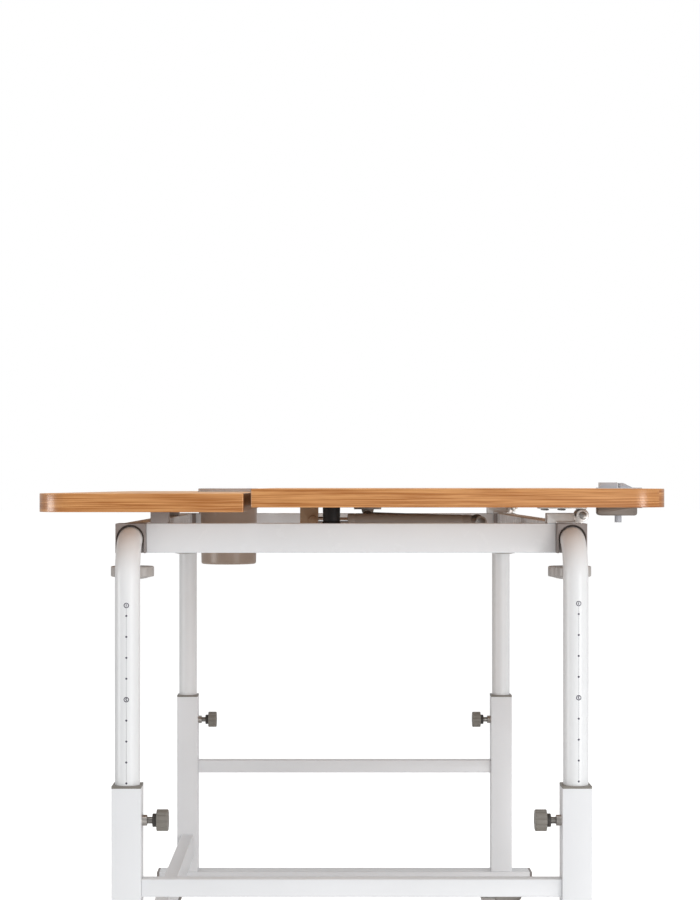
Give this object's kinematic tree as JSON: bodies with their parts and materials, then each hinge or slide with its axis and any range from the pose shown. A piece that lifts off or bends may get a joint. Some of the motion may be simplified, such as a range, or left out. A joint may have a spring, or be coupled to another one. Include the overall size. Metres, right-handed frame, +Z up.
{
  "type": "tilting mobile desk",
  "caption": "Height adjustable desk on castors with a tilting work top, a fixed rear shelf with a cup, a gas spring and clamp knobs.",
  "frame": {"origin": "middle of the desk's plan outline, on the floor under the castors", "axes": "+X to the right along the width, -Y towards the user, +Z up"},
  "size_m": [1.2, 0.739, 0.769],
  "materials": {
    "white_paint": "gloss",
    "sleeve_paint": "satin",
    "block_plastic": "satin",
    "knob_plastic": "matte",
    "zinc": "satin",
    "bolt_steel": "satin",
    "wheel_rubber": "matte",
    "bumper_rubber": "matte",
    "wood_board": "satin",
    "cup_plastic": "satin",
    "stop_plastic": "satin",
    "spring_paint": "satin",
    "rod_chrome": "polished",
    "link_steel": "satin"
  },
  "bodies": {
    "base": {"sleeve_fl": "sleeve_paint", "sleeve_fr": "sleeve_paint", "sleeve_rl": "sleeve_paint", "sleeve_rr": "sleeve_paint", "sleeve_caps": "block_plastic", "foot_left": "sleeve_paint", "foot_right": "sleeve_paint", "foot_caps": "block_plastic", "side_stretchers": "white_paint", "rear_beam": "sleeve_paint", "castor_sockets": "knob_plastic"},
    "carriage": {"leg_fl": "white_paint", "leg_fr": "white_paint", "leg_rl": "white_paint", "leg_rr": "white_paint", "corner_blocks": "block_plastic", "side_rail_left": "white_paint", "side_rail_right": "white_paint", "long_rail_front": "white_paint", "long_rail_rear": "white_paint", "channel": "sleeve_paint", "gas_bracket": "zinc", "stay_bracket": "zinc", "frame_pins": "bolt_steel", "bumpers": "bumper_rubber", "shelf_spacers": "block_plastic", "shelf": "wood_board", "hinge_bases": "zinc", "hinge_pins": "bolt_steel"},
    "top": {"tilt_board": "wood_board", "hinge_leaves": "zinc", "gas_lug": "zinc", "stay_lug": "zinc", "lug_screws": "bolt_steel", "stop_bezel": "stop_plastic", "stop_housing": "stop_plastic"},
    "stop": {"stop_block": "stop_plastic"},
    "cup": {"cup": "cup_plastic"},
    "gas_cylinder": {"gas_cylinder": "spring_paint"},
    "gas_rod": {"gas_rod": "rod_chrome"},
    "stay_lower": {"stay_lower_link": "link_steel"},
    "stay_upper": {"stay_upper_link": "link_steel"},
    "castor_fl": {"castor_fork_fl": "zinc"},
    "wheel_fl": {"castor_wheel_fl": "wheel_rubber"},
    "pedal_fl": {"brake_pedal_fl": "knob_plastic"},
    "sleeve_knob_fl": {"sleeve_knob_fl": "knob_plastic"},
    "corner_knob_fl": {"corner_knob_fl": "knob_plastic"},
    "castor_fr": {"castor_fork_fr": "zinc"},
    "wheel_fr": {"castor_wheel_fr": "wheel_rubber"},
    "pedal_fr": {"brake_pedal_fr": "knob_plastic"},
    "sleeve_knob_fr": {"sleeve_knob_fr": "knob_plastic"},
    "corner_knob_fr": {"corner_knob_fr": "knob_plastic"},
    "castor_rl": {"castor_fork_rl": "zinc"},
    "wheel_rl": {"castor_wheel_rl": "wheel_rubber"},
    "sleeve_knob_rl": {"sleeve_knob_rl": "knob_plastic"},
    "corner_knob_rl": {"corner_knob_rl": "knob_plastic"},
    "castor_rr": {"castor_fork_rr": "zinc"},
    "wheel_rr": {"castor_wheel_rr": "wheel_rubber"},
    "sleeve_knob_rr": {"sleeve_knob_rr": "knob_plastic"},
    "corner_knob_rr": {"corner_knob_rr": "knob_plastic"}
  },
  "joints": [
    {"name": "height_slide", "type": "slide", "parent": "base", "child": "carriage", "axis": [0, 0, 1], "range_m": [-0.2, 0]},
    {"name": "desktop_tilt", "type": "hinge", "parent": "carriage", "child": "top", "pos_m": [0, -0.282, 0.729], "axis": [1, 0, 0], "range_deg": [0, 60]},
    {"name": "gas_cylinder_swing", "type": "hinge", "parent": "carriage", "child": "gas_cylinder", "pos_m": [-0.017, -0.193, 0.713], "axis": [1, 0, 0], "range_deg": [0, 72.74]},
    {"name": "gas_rod_stroke", "type": "slide", "parent": "gas_cylinder", "child": "gas_rod", "axis": [0, 0.9999, 0.0123], "range_m": [0, 0.06684]},
    {"name": "stay_lower_swing", "type": "hinge", "parent": "carriage", "child": "stay_lower", "pos_m": [0.0148, -0.05, 0.7095], "axis": [1, 0, 0], "range_deg": [-30.09, 0]},
    {"name": "stay_upper_swing", "type": "hinge", "parent": "top", "child": "stay_upper", "pos_m": [0.0238, -0.03, 0.7195], "axis": [1, 0, 0], "range_deg": [0, 20.65]},
    {"name": "stop_press", "type": "slide", "parent": "top", "child": "stop", "axis": [0, 0, 1], "range_m": [-0.006, 0]},
    {"name": "cup_lift", "type": "slide", "parent": "carriage", "child": "cup", "axis": [0, 0, 1], "range_m": [0, 0.12]},
    {"name": "castor_fl_swivel", "type": "hinge", "parent": "base", "child": "castor_fl", "pos_m": [-0.536, -0.29, 0.07], "axis": [0, 0, 1], "continuous": true},
    {"name": "wheel_fl_roll", "type": "hinge", "parent": "castor_fl", "child": "wheel_fl", "pos_m": [-0.536, -0.272, 0.025], "axis": [1, 0, 0], "continuous": true},
    {"name": "pedal_fl_press", "type": "hinge", "parent": "castor_fl", "child": "pedal_fl", "pos_m": [-0.536, -0.264, 0.056], "axis": [1, 0, 0], "range_deg": [-12, 0]},
    {"name": "sleeve_knob_fl_turn", "type": "hinge", "parent": "base", "child": "sleeve_knob_fl", "pos_m": [-0.536, -0.235, 0.365], "axis": [0, 1, 0], "range_deg": [0, 360]},
    {"name": "corner_knob_fl_turn", "type": "hinge", "parent": "carriage", "child": "corner_knob_fl", "pos_m": [-0.473, -0.268, 0.66], "axis": [0, 0, -1], "range_deg": [0, 360]},
    {"name": "castor_fr_swivel", "type": "hinge", "parent": "base", "child": "castor_fr", "pos_m": [0.536, -0.29, 0.07], "axis": [0, 0, 1], "continuous": true},
    {"name": "wheel_fr_roll", "type": "hinge", "parent": "castor_fr", "child": "wheel_fr", "pos_m": [0.536, -0.272, 0.025], "axis": [1, 0, 0], "continuous": true},
    {"name": "pedal_fr_press", "type": "hinge", "parent": "castor_fr", "child": "pedal_fr", "pos_m": [0.536, -0.264, 0.056], "axis": [1, 0, 0], "range_deg": [-12, 0]},
    {"name": "sleeve_knob_fr_turn", "type": "hinge", "parent": "base", "child": "sleeve_knob_fr", "pos_m": [0.536, -0.235, 0.365], "axis": [0, 1, 0], "range_deg": [0, 360]},
    {"name": "corner_knob_fr_turn", "type": "hinge", "parent": "carriage", "child": "corner_knob_fr", "pos_m": [0.473, -0.268, 0.66], "axis": [0, 0, -1], "range_deg": [0, 360]},
    {"name": "castor_rl_swivel", "type": "hinge", "parent": "base", "child": "castor_rl", "pos_m": [-0.536, 0.29, 0.07], "axis": [0, 0, 1], "continuous": true},
    {"name": "wheel_rl_roll", "type": "hinge", "parent": "castor_rl", "child": "wheel_rl", "pos_m": [-0.536, 0.308, 0.025], "axis": [1, 0, 0], "continuous": true},
    {"name": "sleeve_knob_rl_turn", "type": "hinge", "parent": "base", "child": "sleeve_knob_rl", "pos_m": [-0.536, 0.235, 0.365], "axis": [0, -1, 0], "range_deg": [0, 360]},
    {"name": "corner_knob_rl_turn", "type": "hinge", "parent": "carriage", "child": "corner_knob_rl", "pos_m": [-0.473, 0.268, 0.66], "axis": [0, 0, -1], "range_deg": [0, 360]},
    {"name": "castor_rr_swivel", "type": "hinge", "parent": "base", "child": "castor_rr", "pos_m": [0.536, 0.29, 0.07], "axis": [0, 0, 1], "continuous": true},
    {"name": "wheel_rr_roll", "type": "hinge", "parent": "castor_rr", "child": "wheel_rr", "pos_m": [0.536, 0.308, 0.025], "axis": [1, 0, 0], "continuous": true},
    {"name": "sleeve_knob_rr_turn", "type": "hinge", "parent": "base", "child": "sleeve_knob_rr", "pos_m": [0.536, 0.235, 0.365], "axis": [0, -1, 0], "range_deg": [0, 360]},
    {"name": "corner_knob_rr_turn", "type": "hinge", "parent": "carriage", "child": "corner_knob_rr", "pos_m": [0.473, 0.268, 0.66], "axis": [0, 0, -1], "range_deg": [0, 360]}
  ],
  "couplings": [
    {"joint": "gas_cylinder_swing", "follows": "desktop_tilt", "ratio": 1.2124},
    {"joint": "gas_rod_stroke", "follows": "desktop_tilt", "m_per_rad": 0.063825},
    {"joint": "stay_lower_swing", "follows": "desktop_tilt", "ratio": -0.50147},
    {"joint": "stay_upper_swing", "follows": "desktop_tilt", "ratio": 0.34417}
  ]
}
